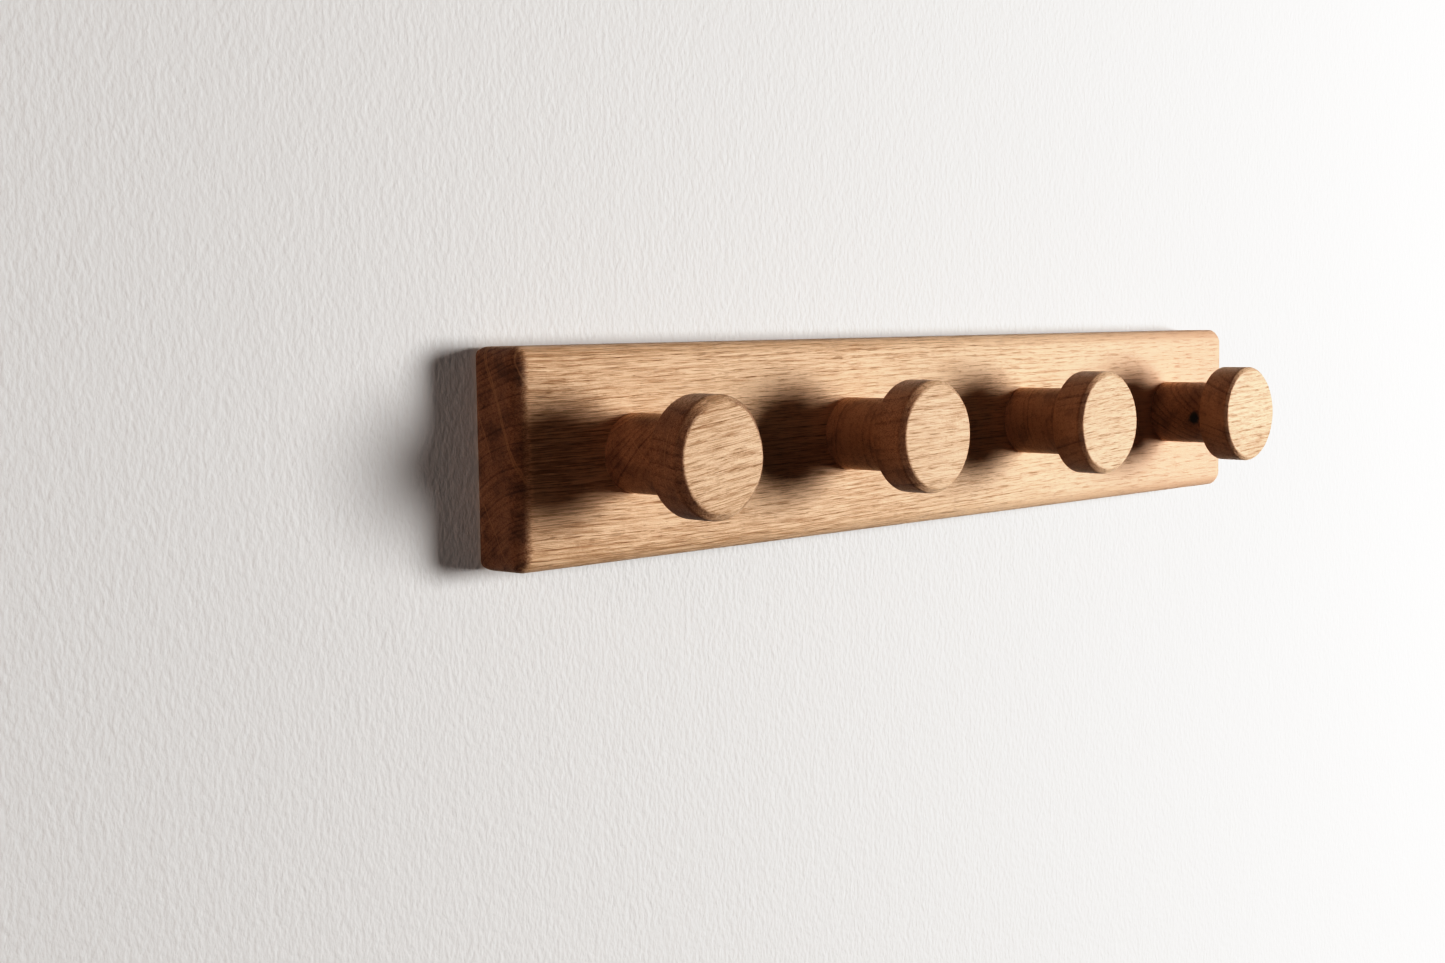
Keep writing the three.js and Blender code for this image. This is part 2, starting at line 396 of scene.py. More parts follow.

# How far each feature darkens end grain. Paler wood darkens less, up to a limit. That paleness
# term is partly the wood's tone and partly painted light and shade: the pale pegs' shaded sides
# are painted lighter, and the browner stem 1, head 1 and the board's shaded left end darker.
END_EARLY = 0.30
END_BLOTCH = 0.50
END_SPECK = 0.24
END_PALE_PAINTED_LIGHT = -1.2
END_PALE_PAINTED_LIGHT_LIMIT = 0.17
END_RAY_SHADE = 0.5

# End grain begins to show at the first cosine between a face's normal and the grain, and shows
# fully at the second.
END_FROM, END_TO = 0.05, 0.62

OAK_SHINE = 0.45
OAK_BUMP = 0.22 * MM

# Distances from a knot's centre where its colour and its hollow begin and are full.
KNOT_COLOUR_MM = (4.6, 2.6)
KNOT_HOLLOW_MM = (4.0, 2.8)
KNOT_WOBBLE_MM = 2.6

OAK_INPUTS = (
    ("Wood", "Vector"),
    ("End", "Float"),
    ("Ring", "Float"),
    ("Pale", "Float"),
    ("Ray", "Float"),
)
OAK_OUTPUTS = (
    ("Color", "Color"),
    ("Roughness", "Float"),
    ("Height", "Float"),
)


def per_mm(size_mm):
    """Features per millimetre along each axis, for a size along the grain and across it."""
    along, across = size_mm
    return (1 / along, 1 / across, 1 / across)


def drift(g, wood, size_mm, by_mm):
    """Moves the point sideways by smooth noise, so the grain wanders."""
    wander = g.noise(wood, per_mm(size_mm), detail=1.0, colour=True)
    centred = g.vector("SUBTRACT", wander, (0.5, 0.5, 0.5))
    return g.vector("ADD", wood, g.vector("MULTIPLY", centred, (0, by_mm, by_mm)))


def year_rings(g, reach, ring_mm):
    """How far the point is in a year's early wood, and a random tone for that year."""
    rings = g.math("DIVIDE", reach, ring_mm)
    wander = g.line_noise(g.times(rings, RINGS_WANDER_PER_RING), detail=2.0)
    rings = g.sum(rings, g.times(wander, RINGS_WANDER_BY))
    phase = g.math("FRACT", rings)
    year = g.add("ShaderNodeTexWhiteNoise", noise_dimensions="1D")
    g.put(g.math("FLOOR", rings), year.inputs["W"])
    early = g.times(g.step(phase, *EARLY_STARTS), g.step(phase, *EARLY_ENDS))
    return early, year.outputs["Value"]


def pores(g, wood, early):
    """Long pores, most of them in early wood, and short dashes everywhere."""
    pore_at, pore_luck = g.cells(wood, per_mm(PORE_MM))
    pore_share = g.sum(PORE_SHARE, g.times(early, PORE_SHARE_EARLY))
    pore = g.times(g.step(pore_at, 0.50, 0.20), g.math("LESS_THAN", pore_luck, pore_share))
    dash_at, dash_luck = g.cells(wood, per_mm(DASH_MM))
    dash = g.times(g.step(dash_at, 0.46, 0.20), g.math("LESS_THAN", dash_luck, DASH_SHARE))
    return pore, dash


def ray_plates(g, ray_space, size_mm, edge, core, bare_share):
    """Rays of one size: thin plates through the pith, missing from a share of their places."""
    at, luck = g.cells(ray_space, tuple(1 / size for size in size_mm))
    return g.times(g.step(at, edge, core), g.math("GREATER_THAN", luck, bare_share))


def end_grain(g, wood, colour, pale, early, year_tone, speck, ray):
    """Colour where the fibres are cut across: darker, blotched and specked."""
    blotch = g.noise(wood, (0.02, 0.16, 0.16), detail=3.0)
    dark = g.sum(
        g.times(early, g.times(year_tone, END_EARLY)),
        g.times(g.step(blotch, 0.40, 0.70), END_BLOTCH),
        g.times(g.step(speck, 0.46, 0.70), END_SPECK),
        # Partly painted light and shade: pale pieces' end grain painted lighter, brown pieces'
        # darker.
        g.times(g.math("MINIMUM", pale, END_PALE_PAINTED_LIGHT_LIMIT), END_PALE_PAINTED_LIGHT),
    )
    tinted = g.mix(1.0, colour, OAK_END_TINT, "MULTIPLY")
    darkened = g.mix(g.clamped(dark), tinted, OAK_END_PORE)
    return g.mix(g.times(ray, END_RAY_SHADE), darkened, OAK_END_RAY)


def oak_group():
    """Solid oak as a node group. Wood is a point in millimetres whose x runs along the grain,
    with the tree's pith on the x axis, so rings, rays and pores carry on from face to end."""
    tree = bpy.data.node_groups.new("oak", "ShaderNodeTree")
    for name, kind in OAK_INPUTS:
        tree.interface.new_socket(name, in_out="INPUT", socket_type="NodeSocket" + kind)
    for name, kind in OAK_OUTPUTS:
        tree.interface.new_socket(name, in_out="OUTPUT", socket_type="NodeSocket" + kind)
    g = Graph(tree)
    given = g.add("NodeGroupInput").outputs

    wood = drift(g, given["Wood"], SLOW_DRIFT_MM, SLOW_DRIFT_BY_MM)
    wood = drift(g, wood, QUICK_DRIFT_MM, QUICK_DRIFT_BY_MM)
    along, across, up = g.split(wood)
    reach = g.math("SQRT", g.sum(g.times(across, across), g.times(up, up)))
    round_mm = g.times(g.math("ARCTAN2", up, across), RING_REACH_MM)

    early, year_tone = year_rings(g, reach, given["Ring"])
    pore, dash = pores(g, wood, early)
    fibre = g.noise(wood, per_mm(FIBRE_MM), detail=6.0, rough=0.72)
    streak = g.noise(wood, per_mm(STREAK_MM), detail=5.0, rough=0.62)
    broad = g.noise(wood, per_mm(BROAD_MM), detail=2.0)
    speck = g.noise(wood, (0.3, 1.5, 1.5), detail=3.0, rough=0.7)
    grit = g.noise(wood, (1.1, 3.2, 3.2), detail=3.0, rough=0.6)

    ray_space = g.join(along, reach, round_mm)
    wide_ray = ray_plates(g, ray_space, WIDE_RAY_MM, edge=0.12, core=0.05, bare_share=0.45)
    thin_ray = ray_plates(g, ray_space, THIN_RAY_MM, edge=0.22, core=0.10, bare_share=0.5)
    ray = g.math("MAXIMUM", wide_ray, g.times(thin_ray, THIN_RAY_SHADE))

    brown = g.sum(
        BROWN_START,
        g.times(early, g.sum(BROWN_EARLY, g.times(year_tone, BROWN_EARLY_YEAR))),
        g.about_middle(streak, BROWN_STREAK),
        g.about_middle(fibre, BROWN_FIBRE),
        g.about_middle(broad, BROWN_BROAD),
        g.times(given["Pale"], -1.0),
    )
    colour = g.mix(g.clamped(brown), OAK_PALE, OAK_BROWN)
    colour = g.mix(g.times(ray, RAY_SHADE), colour, OAK_RAY)
    colour = g.mix(g.times(dash, DASH_SHADE), colour, OAK_PORE)
    colour = g.mix(g.times(pore, PORE_SHADE), colour, OAK_PORE)
    # Painted highlight wash: the palest wood, towards the board's right end, is painted even in
    # colour.
    highlight_wash = g.step(given["Pale"], HIGHLIGHT_WASH_FROM, HIGHLIGHT_WASH_TO, 0.0, HIGHLIGHT_WASH_SHARE)
    colour = g.mix(highlight_wash, colour, OAK_HIGHLIGHT_WASH)
    end_ray = g.math("MAXIMUM", ray, given["Ray"])
    end_colour = end_grain(g, wood, colour, given["Pale"], early, year_tone, speck, end_ray)

    roughness = g.sum(
        0.52,
        g.times(pore, 0.2),
        g.times(given["End"], 0.12),
        g.about_middle(fibre, 0.25),
        g.times(ray, -0.08),
    )
    height = g.sum(
        g.times(pore, -0.8),
        g.times(dash, -0.4),
        g.times(early, -0.2),
        g.times(fibre, 0.9),
        g.times(streak, 0.5),
        g.times(g.times(speck, given["End"]), 1.6),
        g.times(grit, 1.35),
        g.times(ray, 0.15),
    )
    result = g.add("NodeGroupOutput").inputs
    g.put(g.mix(given["End"], colour, end_colour), result["Color"])
    g.put(roughness, result["Roughness"])
    g.put(height, result["Height"])
    return tree


OAK = oak_group()


def long_rays(g, wood, point, rays_mm):
    """Fine bright lines that run straight out from the pith across the end grain."""
    bend = g.times(g.noise(point, (0.05, 0.12, 0.12)), LONG_RAY_BEND_MM)
    turn = g.sum(g.times(g.math("ARCTAN2", wood[2], wood[1]), RING_REACH_MM), bend)
    total = 0.0
    for place_mm in rays_mm:
        off = g.math("ABSOLUTE", g.sum(turn, -place_mm - LONG_RAY_BEND_MM / 2))
        total = g.sum(total, g.step(off, LONG_RAY_EDGE_MM, LONG_RAY_CORE_MM))
    return total


def oak(name, grain, pith_mm, ring_mm, pale=0.0, paler_per_m=0.0, rays_mm=(), knot_mm=None):
    """Material for one piece of oak.

    grain is the direction of the fibres, pith_mm a point of the row frame on the tree's pith,
    ring_mm the width of a year's growth, paler_per_m how much paler the wood gets along X,
    rays_mm the places of long rays round the pith and knot_mm the centre of a black knot."""
    g, material, shader = new_material(name)
    place, point, normal = g.place()
    from_pith = g.vector("SUBTRACT", point, tuple(pith_mm))
    fibre = Vector(grain).normalized()
    across = fibre.cross(Vector((0, 1, 0))).normalized()
    axes = (fibre, across, fibre.cross(across))
    wood = [g.vector("DOT_PRODUCT", from_pith, tuple(axis)) for axis in axes]
    facing = g.math("ABSOLUTE", g.vector("DOT_PRODUCT", normal, tuple(fibre)))

    group = g.add("ShaderNodeGroup", node_tree=OAK)
    g.put(g.join(*wood), group.inputs["Wood"])
    g.put(g.step(facing, END_FROM, END_TO), group.inputs["End"])
    g.put(ring_mm, group.inputs["Ring"])
    g.put(g.sum(pale, g.times(g.split(place)[0], paler_per_m)), group.inputs["Pale"])
    g.put(long_rays(g, wood, point, rays_mm), group.inputs["Ray"])
    colour, roughness, height = (group.outputs[n] for n in ("Color", "Roughness", "Height"))
    if knot_mm is not None:
        away = g.vector("LENGTH", g.vector("SUBTRACT", point, tuple(knot_mm)))
        wobble = g.times(g.noise(point, (0.7, 0.7, 0.7), detail=3.0), KNOT_WOBBLE_MM)
        away = g.sum(away, wobble)
        colour = g.mix(g.step(away, *KNOT_COLOUR_MM), colour, KNOT_BLACK)
        height = g.sum(height, g.step(away, *KNOT_HOLLOW_MM, 0.0, -1.0))
    g.put(colour, shader.inputs["Base Color"])
    g.put(roughness, shader.inputs["Roughness"])
    shader.inputs["Specular IOR Level"].default_value = OAK_SHINE
    add_bump(g, shader, height, distance=OAK_BUMP, strength=0.8)
    return material


# ------------------------------------------------------------------ other materials

ZINC_COLOUR, ZINC_STAIN = rgb(0.62, 0.60, 0.54), rgb(0.40, 0.37, 0.30)
STEEL_COLOUR, STEEL_STAIN = rgb(0.52, 0.52, 0.51), rgb(0.33, 0.31, 0.28)
BEECH_PALE, BEECH_BROWN = rgb(0.80, 0.60, 0.41), rgb(0.66, 0.45, 0.28)
BEECH_FLECK = rgb(0.40, 0.22, 0.11)
TARNISH_FROM, TARNISH_TO = 0.5, 0.72
TARNISH_SHADE = 0.55
SCRATCH_ROUGHNESS = 0.14
METAL_BUMP = 0.03 * MM
FLECK_SHARE = 0.4
FLECK_SHADE = 0.6
BEECH_BUMP = 0.08 * MM


def metal(name, colour, stain, smoothest, roughest, brushed):
    """Plated steel with cloudy plating, fine scratches and a little tarnish.

    brushed is how many scratches there are per millimetre along each axis."""
    g, material, shader = new_material(name)
    point = g.place()[1]
    cloud = g.noise(point, (0.5, 0.5, 0.5), detail=4.0)
    grain = g.noise(point, brushed, detail=3.0, rough=0.6)
    tarnish = g.times(g.step(cloud, TARNISH_FROM, TARNISH_TO), TARNISH_SHADE)
    g.put(g.mix(tarnish, colour, stain), shader.inputs["Base Color"])
    roughness = g.sum(
        g.times(cloud, roughest - smoothest),
        g.times(grain, SCRATCH_ROUGHNESS),
        smoothest - SCRATCH_ROUGHNESS / 2,
    )
    g.put(roughness, shader.inputs["Roughness"])
    shader.inputs["Metallic"].default_value = 1.0
    height = g.sum(grain, g.times(cloud, 0.4))
    add_bump(g, shader, height, distance=METAL_BUMP, strength=0.5)
    return material


def beech():
    """Pale turned beech with short brown flecks along the dowel."""
    g, material, shader = new_material("beech")
    point = g.place()[1]
    shade = g.noise(point, (0.8, 0.05, 0.8), detail=3.0)
    fleck_at, luck = g.cells(point, (2.2, 0.5, 2.2))
    fleck = g.times(g.step(fleck_at, 0.35, 0.2), g.math("LESS_THAN", luck, FLECK_SHARE))
    colour = g.mix(shade, BEECH_PALE, BEECH_BROWN)
    g.put(g.mix(g.times(fleck, FLECK_SHADE), colour, BEECH_FLECK), shader.inputs["Base Color"])
    g.put(g.sum(0.5, g.times(shade, 0.15)), shader.inputs["Roughness"])
    height = g.sum(shade, g.times(fleck, -0.5))
    add_bump(g, shader, height, distance=BEECH_BUMP, strength=0.6)
    return material


ZINC = metal(
    "zinc", ZINC_COLOUR, ZINC_STAIN,
    smoothest=0.26, roughest=0.42, brushed=(1.5, 6.0, 1.5),
)
STEEL = metal(
    "plate_steel", STEEL_COLOUR, STEEL_STAIN,
    smoothest=0.30, roughest=0.48, brushed=(0.35, 9.0, 9.0),
)
BEECH = beech()

# ------------------------------------------------------------------ board

BOARD_EDGE = 5.8 * MM
BOARD_FRONT_EDGE = 5.6 * MM
BOARD_BACK_EDGE = 3.0 * MM
BOARD_CELLS = (60, 3, 10)  # inner grid cells along X, Y and Z
EDGE_STEPS = 8
EDGE_UNEVENNESS = 0.25 * MM
EDGE_WAVES_PER_M = 38
ON_FLAT = 1e-4
CUT_MARGIN = 1.0 * MM

SCREW_HOLE = 2.55 * MM
SCREW_SEAT = 4.7 * MM
SCREW_CONE = 2.4 * MM
SEAT_EASE = 0.5 * MM
SEAT_EASE_FROM, SEAT_EASE_TO = -0.3 * MM, 0.2 * MM  # y where the eased rim begins and ends
PEG_SCREW_SINK = 2.0 * MM
PILOT_HOLE = 1.8 * MM
PILOT_PAST_TIP = 0.3 * MM
PLATE_RECESS = 2.0 * MM
PLATE_GAP = 0.3 * MM
POCKET_DEPTH = 8.0 * MM
POCKET_RADIUS = 6.5 * MM
KEYHOLE_ENTRY = 5.0 * MM
KEYHOLE_ENTRY_DROP = 2.8 * MM
KEYHOLE_SLOT = 2.5 * MM
KEYHOLE_SLOT_RISE = 4.0 * MM
HOLE_FACETS = 64
PILOT_FACETS = 32

BOARD_OAK = oak(
    "board_oak",
    grain=(1, 0.004, 0.012),
    pith_mm=(0, -53, -93),
    ring_mm=1.75,
    pale=0.13,
    paler_per_m=1.85,
    rays_mm=(-36.1, -36.6, -54.3),
)


def edge_lines(low, high, inner_cells):
    """Grid lines along one axis: even inside, and an even turn over each rounded edge."""
    reach = [BOARD_EDGE * math.tan(math.radians(45 * i / EDGE_STEPS)) for i in range(EDGE_STEPS + 1)]
    inside = np.linspace(low + BOARD_EDGE, high - BOARD_EDGE, inner_cells + 1)
    before = [low + BOARD_EDGE - r for r in reversed(reach[1:])]
    after = [high - BOARD_EDGE + r for r in reach[1:]]
    return before + list(inside) + after


def on_rounded_board(p):
    """Moves a point of the board's box onto the rounded board."""
    low = BOARD_LOW + Vector((BOARD_EDGE,) * 3)
    high = BOARD_HIGH - Vector((BOARD_EDGE,) * 3)
    core = Vector(min(max(p[i], low[i]), high[i]) for i in range(3))
    out = (p - core).normalized()
    depth = (p.y - BOARD_LOW.y) / (BOARD_HIGH.y - BOARD_LOW.y)
    radius = BOARD_FRONT_EDGE + (BOARD_BACK_EDGE - BOARD_FRONT_EDGE) * depth
    radius += EDGE_UNEVENNESS * noise.noise(core * EDGE_WAVES_PER_M)
    side = Vector((c > ON_FLAT) - (c < -ON_FLAT) for c in out)
    return core + side * (BOARD_EDGE - radius) + out * radius


def rounded_board():
    """Box with rounded edges and ball corners, rounder in front, eased unevenly by hand."""
    lines = [edge_lines(*sides) for sides in zip(BOARD_LOW, BOARD_HIGH, BOARD_CELLS)]
    last = [len(line) - 1 for line in lines]
    index, vertices, faces = {}, [], []

    def corner(key):
        """Number of the vertex at this crossing of grid lines, made when first asked for."""
        if key not in index:
            index[key] = len(vertices)
            vertices.append(on_rounded_board(Vector(lines[i][key[i]] for i in range(3))))
        return index[key]

    for axis in range(3):
        a, b = (axis + 1) % 3, (axis + 2) % 3
        for side in (0, last[axis]):
            for i in range(last[a]):
                for j in range(last[b]):
                    square = []
                    for da, db in ((0, 0), (1, 0), (1, 1), (0, 1)):
                        key = [0, 0, 0]
                        key[axis], key[a], key[b] = side, i + da, j + db
                        square.append(corner(tuple(key)))
                    faces.append(tuple(square if side else reversed(square)))
    return new_object("oak_board", vertices, faces)


def peg_screw_hole(number):
    """Cutter for a peg screw: bore, cone and a counterbore with an eased rim."""
    sink, front, back = -PEG_SCREW_SINK, BOARD_FRONT - CUT_MARGIN, CUT_MARGIN
    eased = SCREW_SEAT + SEAT_EASE
    outline = [
        (0, front), (SCREW_HOLE, front), (SCREW_HOLE, sink - SCREW_CONE),
        (SCREW_SEAT, sink), (SCREW_SEAT, SEAT_EASE_FROM), (eased, SEAT_EASE_TO),
        (eased, back), (0, back),
    ]
    return turned("cutter", same_all_round(outline), middle(f"peg_screw_{number}"), HOLE_FACETS)


def plate_cutters(side):
    """Cutters for a keyhole plate: its recess and the screw head's pocket."""
    low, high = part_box(f"keyhole_plate_{side}")
    x, z = (low.x + high.x) / 2, (low.z + high.z) / 2
    recess = stadium(x, z, high.x - low.x + 2 * PLATE_GAP, high.z - low.z + 2 * PLATE_GAP)
    rise = KEYHOLE_SLOT_RISE + KEYHOLE_ENTRY_DROP
    pocket_z = z + (KEYHOLE_SLOT_RISE - KEYHOLE_ENTRY_DROP) / 2
    pocket = stadium(x, pocket_z, 2 * POCKET_RADIUS, 2 * POCKET_RADIUS + rise)
    return [
        prism("cutter", recess, CUT_MARGIN, -PLATE_RECESS),
        prism("cutter", pocket, CUT_MARGIN, -POCKET_DEPTH),
    ]


def plate_screw_pilot(side, number):
    """Cutter for a plate screw's pilot hole."""
    node = f"plate_screw_{side}_{number}"
    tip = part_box(node)[0].y - PILOT_PAST_TIP
    outline = [(0, tip), (PILOT_HOLE, tip), (PILOT_HOLE, CUT_MARGIN), (0, CUT_MARGIN)]
    return turned("cutter", same_all_round(outline), middle(node), PILOT_FACETS)


def board():
    """The board, with its holes for the peg screws and its recesses for the keyhole plates."""
    cutters = [peg_screw_hole(number) for number in PEG_NUMBERS]
    for side in PLATE_SIDES:
        cutters += plate_cutters(side)
        cutters += [plate_screw_pilot(side, number) for number in PLATE_SCREW_NUMBERS]
    obj = rounded_board()
    cut(obj, cutters)
    smooth(obj)
    piece(obj, "board", BOARD_OAK)


# ------------------------------------------------------------------ pegs

# For each peg's head and stem: how many degrees the grain tilts, where the pith lies from the
# piece in the y-z plane and how wide the rings are, in millimetres, and how pale the wood is.
# For the stems that paleness is painted light and shade: stem 1 is painted darker, stems 2 and 3
# paler, for the fill light that falls on each.
HEAD_WOOD = {
    1: {"tilt": 8.0, "pith": (14, -95), "ring": 3.3, "pale": -0.12},
    2: {"tilt": 1.5, "pith": (10, 120), "ring": 3.7, "pale": 0.13},
    3: {"tilt": 3.5, "pith": (-22, -110), "ring": 2.9, "pale": 0.17},
    4: {"tilt": 4.0, "pith": (30, -85), "ring": 2.4, "pale": 0.15},
}
STEM_WOOD = {
    1: {"tilt": 2.0, "pith": (62, 58), "ring": 2.3, "pale": -0.10},
    2: {"tilt": -3.0, "pith": (75, 6), "ring": 2.8, "pale": 0.14},
    3: {"tilt": 1.0, "pith": (64, -12), "ring": 2.6, "pale": 0.2},
    4: {"tilt": 4.0, "pith": (-40, 60), "ring": 2.2, "pale": 0.0},
}
PEG_GRAIN_LEAN = 0.02
PEG_FACETS = 144
DOWEL_HOLE = 4.15 * MM
HOLE_PAST_END = 0.2 * MM

# One stem has a black knot at its left side, close behind the head.
STEM_RIM = 0.3 * MM
KNOTTED_STEM = 4
KNOT_OUT = 0.97
KNOT_BEHIND_HEAD_MM = 6.0
KNOT_DROP_MM = 1.8

# The width of each head's rim wanders with noise, taken at places as far apart as the gap.
HEAD_RIM = {1: 3.2 * MM, 2: 2.6 * MM, 3: 2.2 * MM, 4: 1.7 * MM}
HEAD_RIM_WANDER = 0.16
HEAD_RIM_WAVES = 1.4
HEAD_NOISE_GAP = 3.0
HEAD_RIM_ROUND = 0.62
HEAD_BACK_RIM = 0.35 * MM
HEAD_BACK_ROUND = 0.3
RIM_STEPS = 8

DOWEL_FACETS = 160
DOWEL_FLUTES = 20
DOWEL_FLUTE_DEPTH = 0.22 * MM
DOWEL_CHAMFER = 0.8 * MM


def peg_oak(name, node, wood, knot_mm=None):
    """Oak for a piece of a peg, with its grain across the peg."""
    centre_mm = middle(node) / MM
    tilt = math.radians(wood["tilt"])
    pith = (centre_mm.x, centre_mm.y + wood["pith"][0], centre_mm.z + wood["pith"][1])
    grain = (math.cos(tilt), PEG_GRAIN_LEAN, math.sin(tilt))
    return oak(name, grain, pith, wood["ring"], wood["pale"], knot_mm=knot_mm)


def stem(number):
    """Peg stem, bored for its dowel in front and its screw behind."""
    node = f"peg_stem_{number}"
    centre, radius = middle(node), radius_of(node)
    front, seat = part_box(node)[0].y, BOARD_FRONT
    dowel_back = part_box(f"peg_dowel_{number}")[1].y + HOLE_PAST_END
    screw_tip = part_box(f"peg_screw_{number}")[0].y - HOLE_PAST_END
    outline = [
        (0, dowel_back), (DOWEL_HOLE, dowel_back), (DOWEL_HOLE, front),
        (radius, front), (radius, seat - STEM_RIM), (radius - STEM_RIM, seat),
        (SCREW_HOLE, seat), (SCREW_HOLE, screw_tip), (0, screw_tip),
    ]
    obj = turned(f"oak_stem_{number}", same_all_round(outline), centre, PEG_FACETS)
    smooth(obj)
    knot_mm = None
    if number == KNOTTED_STEM:
        x_mm = (centre.x - radius * KNOT_OUT) / MM
        knot_mm = (x_mm, front / MM + KNOT_BEHIND_HEAD_MM, centre.z / MM - KNOT_DROP_MM)
    wood = peg_oak(f"stem_oak_{number}", node, STEM_WOOD[number], knot_mm)
    piece(obj, node, wood)


def head(number):
    """Disc head, bored behind for its dowel."""
    node = f"peg_head_{number}"
    centre, radius = middle(node), radius_of(node)
    front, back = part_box(node)[0].y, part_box(f"peg_stem_{number}")[0].y
    dowel_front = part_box(f"peg_dowel_{number}")[0].y - HOLE_PAST_END
    back_round = HEAD_BACK_RIM * HEAD_BACK_ROUND

    def outline(angle):
        """The front rim is an eased chamfer, sanded by hand, so its width varies round the head."""
        where = Vector((math.cos(angle), math.sin(angle), HEAD_NOISE_GAP * number))
        wander = HEAD_RIM_WANDER * noise.noise(where * HEAD_RIM_WAVES)
        rim = HEAD_RIM[number] * (1 + wander)
        eased = rim * HEAD_RIM_ROUND
        return [
            (0, front), (radius * 0.5, front),
            *arc(radius - rim, front + eased, eased, -90, -45, RIM_STEPS),
            *arc(radius - eased, front + rim, eased, -45, 0, RIM_STEPS),
            (radius, back - HEAD_BACK_RIM), (radius - back_round, back - back_round),
            (radius - HEAD_BACK_RIM, back),
            (DOWEL_HOLE, back), (DOWEL_HOLE, dowel_front), (0, dowel_front),
        ]

    obj = turned(f"oak_head_{number}", outline, centre, PEG_FACETS)
    smooth(obj)
    piece(obj, node, peg_oak(f"head_oak_{number}", node, HEAD_WOOD[number]))


def dowel(number):
    """Grooved dowel with chamfered ends."""
    node = f"peg_dowel_{number}"
    radius = radius_of(node)
    low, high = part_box(node)

    def outline(angle):
        """The flutes are dips in the side, evenly spread round it."""
        side = radius - DOWEL_FLUTE_DEPTH * (0.5 - 0.5 * math.cos(DOWEL_FLUTES * angle)) ** 2
        end = radius - DOWEL_CHAMFER
        return [
            (0, low.y), (end, low.y), (side, low.y + DOWEL_CHAMFER),
            (side, high.y - DOWEL_CHAMFER), (end, high.y), (0, high.y),
        ]

    obj = turned(f"dowel_{number}", outline, middle(node), DOWEL_FACETS)
    smooth(obj, degrees=40)
    piece(obj, node, BEECH)


# ------------------------------------------------------------------ screws

PEG_SCREW = {
    "head_height": 2.6 * MM,
    "shank": 2.25 * MM,
    "pitch": 2.1 * MM,
    "thread": 19 * MM,
    "recess": (1.1 * MM, 4.8 * MM, 1.9 * MM),
}
PLATE_SCREW = {
    "head_height": 1.3 * MM,
    "shank": 1.5 * MM,
    "pitch": 1.6 * MM,
    "thread": 11 * MM,
    "recess": (0.7 * MM, 2.9 * MM, 1.0 * MM),
}
# The core and neck are shares of the shank, the taper and ridge are counted in pitches, and the
# recess's bars are this share of their size to either side at its mouth and bottom.
SCREW_FACETS = 48
STEPS_PER_PITCH = 8
CORE_SHARE = 0.68
NECK_SHARE = 0.92
NECK_LENGTH = 0.6 * MM
TAPER_TURNS = 2.2
RIDGE_HALF_WIDTH = 0.28
TIP_RADIUS = 0.02 * MM
LIP_HEIGHT = 0.2 * MM
LIP_FRONT, LIP_BACK = 0.06 * MM, 0.08 * MM
RECESS_MOUTH = 0.5
RECESS_BOTTOM = 0.38
RECESS_ABOVE = 0.5 * MM


def screw(name, node, head_height, shank, pitch, thread, recess):
    """Countersunk wood screw with a helical thread and a cross recess.

    shank is a radius, thread a length, and recess the width, length and depth of the cross."""
    low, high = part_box(node)
    centre, head_radius = middle(node), radius_of(node)
    core, taper = shank * CORE_SHARE, TAPER_TURNS * pitch
    count = int(thread / pitch * STEPS_PER_PITCH)
    ys = [low.y + thread * (i + 1) / count for i in range(count)]
    neck, cone = low.y + thread + NECK_LENGTH, high.y - head_height

    def side(angle, y):
        """Radius of the threaded part: a sharp ridge that climbs as it goes round."""
        up = (y - low.y) / pitch - angle / (2 * math.pi)
        ridge = max(0.0, 1 - abs(up % 1.0 - 0.5) / RIDGE_HALF_WIDTH)
        point = min(1.0, (y - low.y) / taper)
        runout = max(0.0, min(1.0, (low.y + thread - y) / pitch))
        return max(TIP_RADIUS, (core + (shank - core) * ridge * runout) * point)

    def outline(angle):
        """Thread, plain neck, cone and the narrow lip round the head."""
        return [
            (0, low.y), *((side(angle, y), y) for y in ys),
            (shank * NECK_SHARE, neck), (shank * NECK_SHARE, cone),
            (head_radius - LIP_FRONT, high.y - LIP_HEIGHT), (head_radius, high.y - LIP_HEIGHT / 2),
            (head_radius - LIP_BACK, high.y), (0, high.y),
        ]

    obj = turned(name, outline, centre, SCREW_FACETS)
    width, length, depth = recess
    cut(obj, [
        cross_bar(centre, high.y, length, width, depth),
        cross_bar(centre, high.y, width, length, depth),
    ])
    smooth(obj, degrees=28)
    piece(obj, node, ZINC)


def cross_bar(centre, top, size_x, size_z, depth):
    """Cutter for one bar of the cross recess, narrower at its bottom."""
    vertices = []
    for y, share in ((top + RECESS_ABOVE, RECESS_MOUTH), (top - depth, RECESS_BOTTOM)):
        for sx, sz in ((-1, -1), (1, -1), (1, 1), (-1, 1)):
            vertices.append((centre.x + sx * size_x * share, y, centre.z + sz * size_z * share))
    sides = [(i, i + 4, (i + 1) % 4 + 4, (i + 1) % 4) for i in range(4)]
    return new_object("cutter", vertices, [(0, 1, 2, 3), (7, 6, 5, 4), *sides])


def peg_screw(number):
    """Long screw that holds a peg to the board from behind."""
    screw(f"wood_screw_{number}", f"peg_screw_{number}", **PEG_SCREW)


def plate_screw(side, number):
    """Short screw that holds a keyhole plate."""
    screw(f"small_screw_{side}_{number}", f"plate_screw_{side}_{number}", **PLATE_SCREW)


# ------------------------------------------------------------------ keyhole plates

